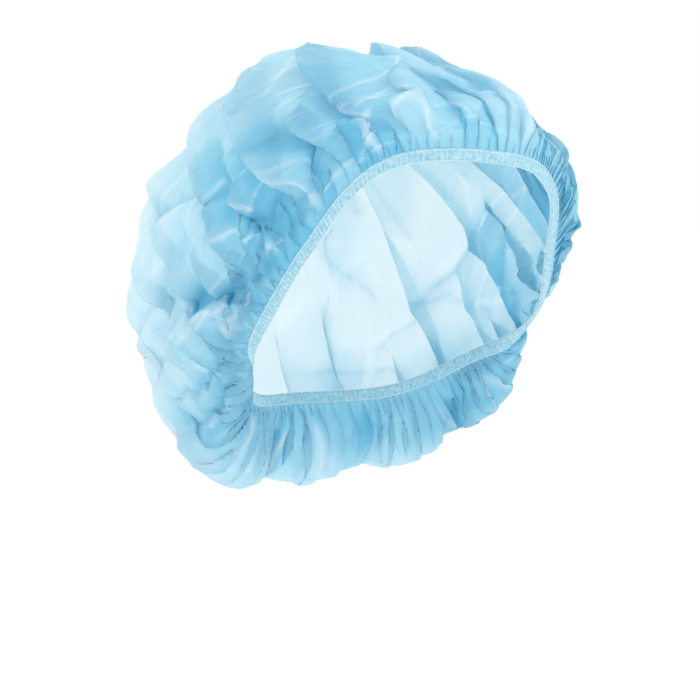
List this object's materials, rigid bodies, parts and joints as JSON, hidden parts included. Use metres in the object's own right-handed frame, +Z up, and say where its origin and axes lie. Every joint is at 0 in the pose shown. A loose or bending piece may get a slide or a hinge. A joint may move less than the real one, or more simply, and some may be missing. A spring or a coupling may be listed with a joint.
{
  "type": "disposable hairnet",
  "caption": "Disposable bouffant cap: a round cut of thin pleated non-woven gathered onto a narrow elastic edge, kept in its worn form.",
  "frame": {"origin": "on the axis of the wearer's head, level with the cap's edge at the forehead", "axes": "+Z up, the wearer faces -Y, +X is the wearer's left"},
  "size_m": [0.1996, 0.239, 0.2235],
  "materials": {
    "crown_cloth": "thin spunbond polypropylene non-woven, matt, lightly see-through",
    "elastic_edge": "overlocked edge with elastic, matt",
    "edge_thread": "textured polyester overlock thread"
  },
  "bodies": {
    "root": {"crown": "crown_cloth", "elastic_band": "elastic_edge"}
  },
  "joints": []
}
